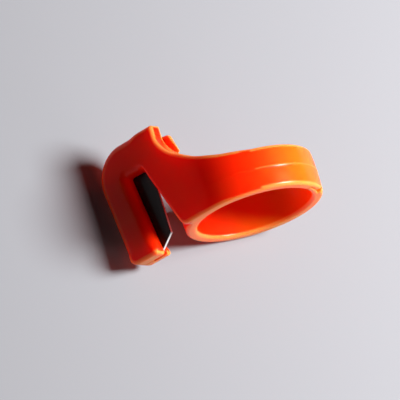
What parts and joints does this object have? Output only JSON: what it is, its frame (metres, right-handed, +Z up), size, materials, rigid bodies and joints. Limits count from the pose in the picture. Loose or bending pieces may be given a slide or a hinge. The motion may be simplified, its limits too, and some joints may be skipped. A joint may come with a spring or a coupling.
{
  "type": "finger ring thread cutter",
  "caption": "Moulded plastic finger ring, split and springy, with a flat hooked head beside it that guards a steel cutting blade in the hook's gap.",
  "frame": {"origin": "centre of the finger bore, at mid-width of the band", "axes": "+Y along the bore, away from the hook's open end; +Z up as the part stands; the head is on the -X side"},
  "size_m": [0.0308, 0.0192, 0.0224],
  "materials": {
    "moulding": "orange, glossy and slightly translucent, as moulded",
    "cover": "orange, glossy and slightly translucent, as moulded",
    "blade_steel": "dark blued steel with a bright ground edge"
  },
  "bodies": {
    "head": {"ring_body": "moulding", "head_cover": "cover", "blade": "blade_steel"},
    "upper_arm": {"upper_band_arm": "moulding"},
    "lower_arm": {"lower_band_arm": "moulding"}
  },
  "joints": [
    {"name": "upper_arm_flex", "type": "hinge", "parent": "head", "child": "upper_arm", "pos_m": [-0.00859, 0, 0.00727], "axis": [0, -1, 0], "range_deg": [0, 5], "stiffness_Nm_per_rad": 0.05},
    {"name": "lower_arm_flex", "type": "hinge", "parent": "head", "child": "lower_arm", "pos_m": [-0.01041, 0, -0.00426], "axis": [0, 1, 0], "range_deg": [0, 5], "stiffness_Nm_per_rad": 0.05}
  ],
  "couplings": [
    {"joint": "lower_arm_flex", "follows": "upper_arm_flex", "ratio": 1}
  ]
}
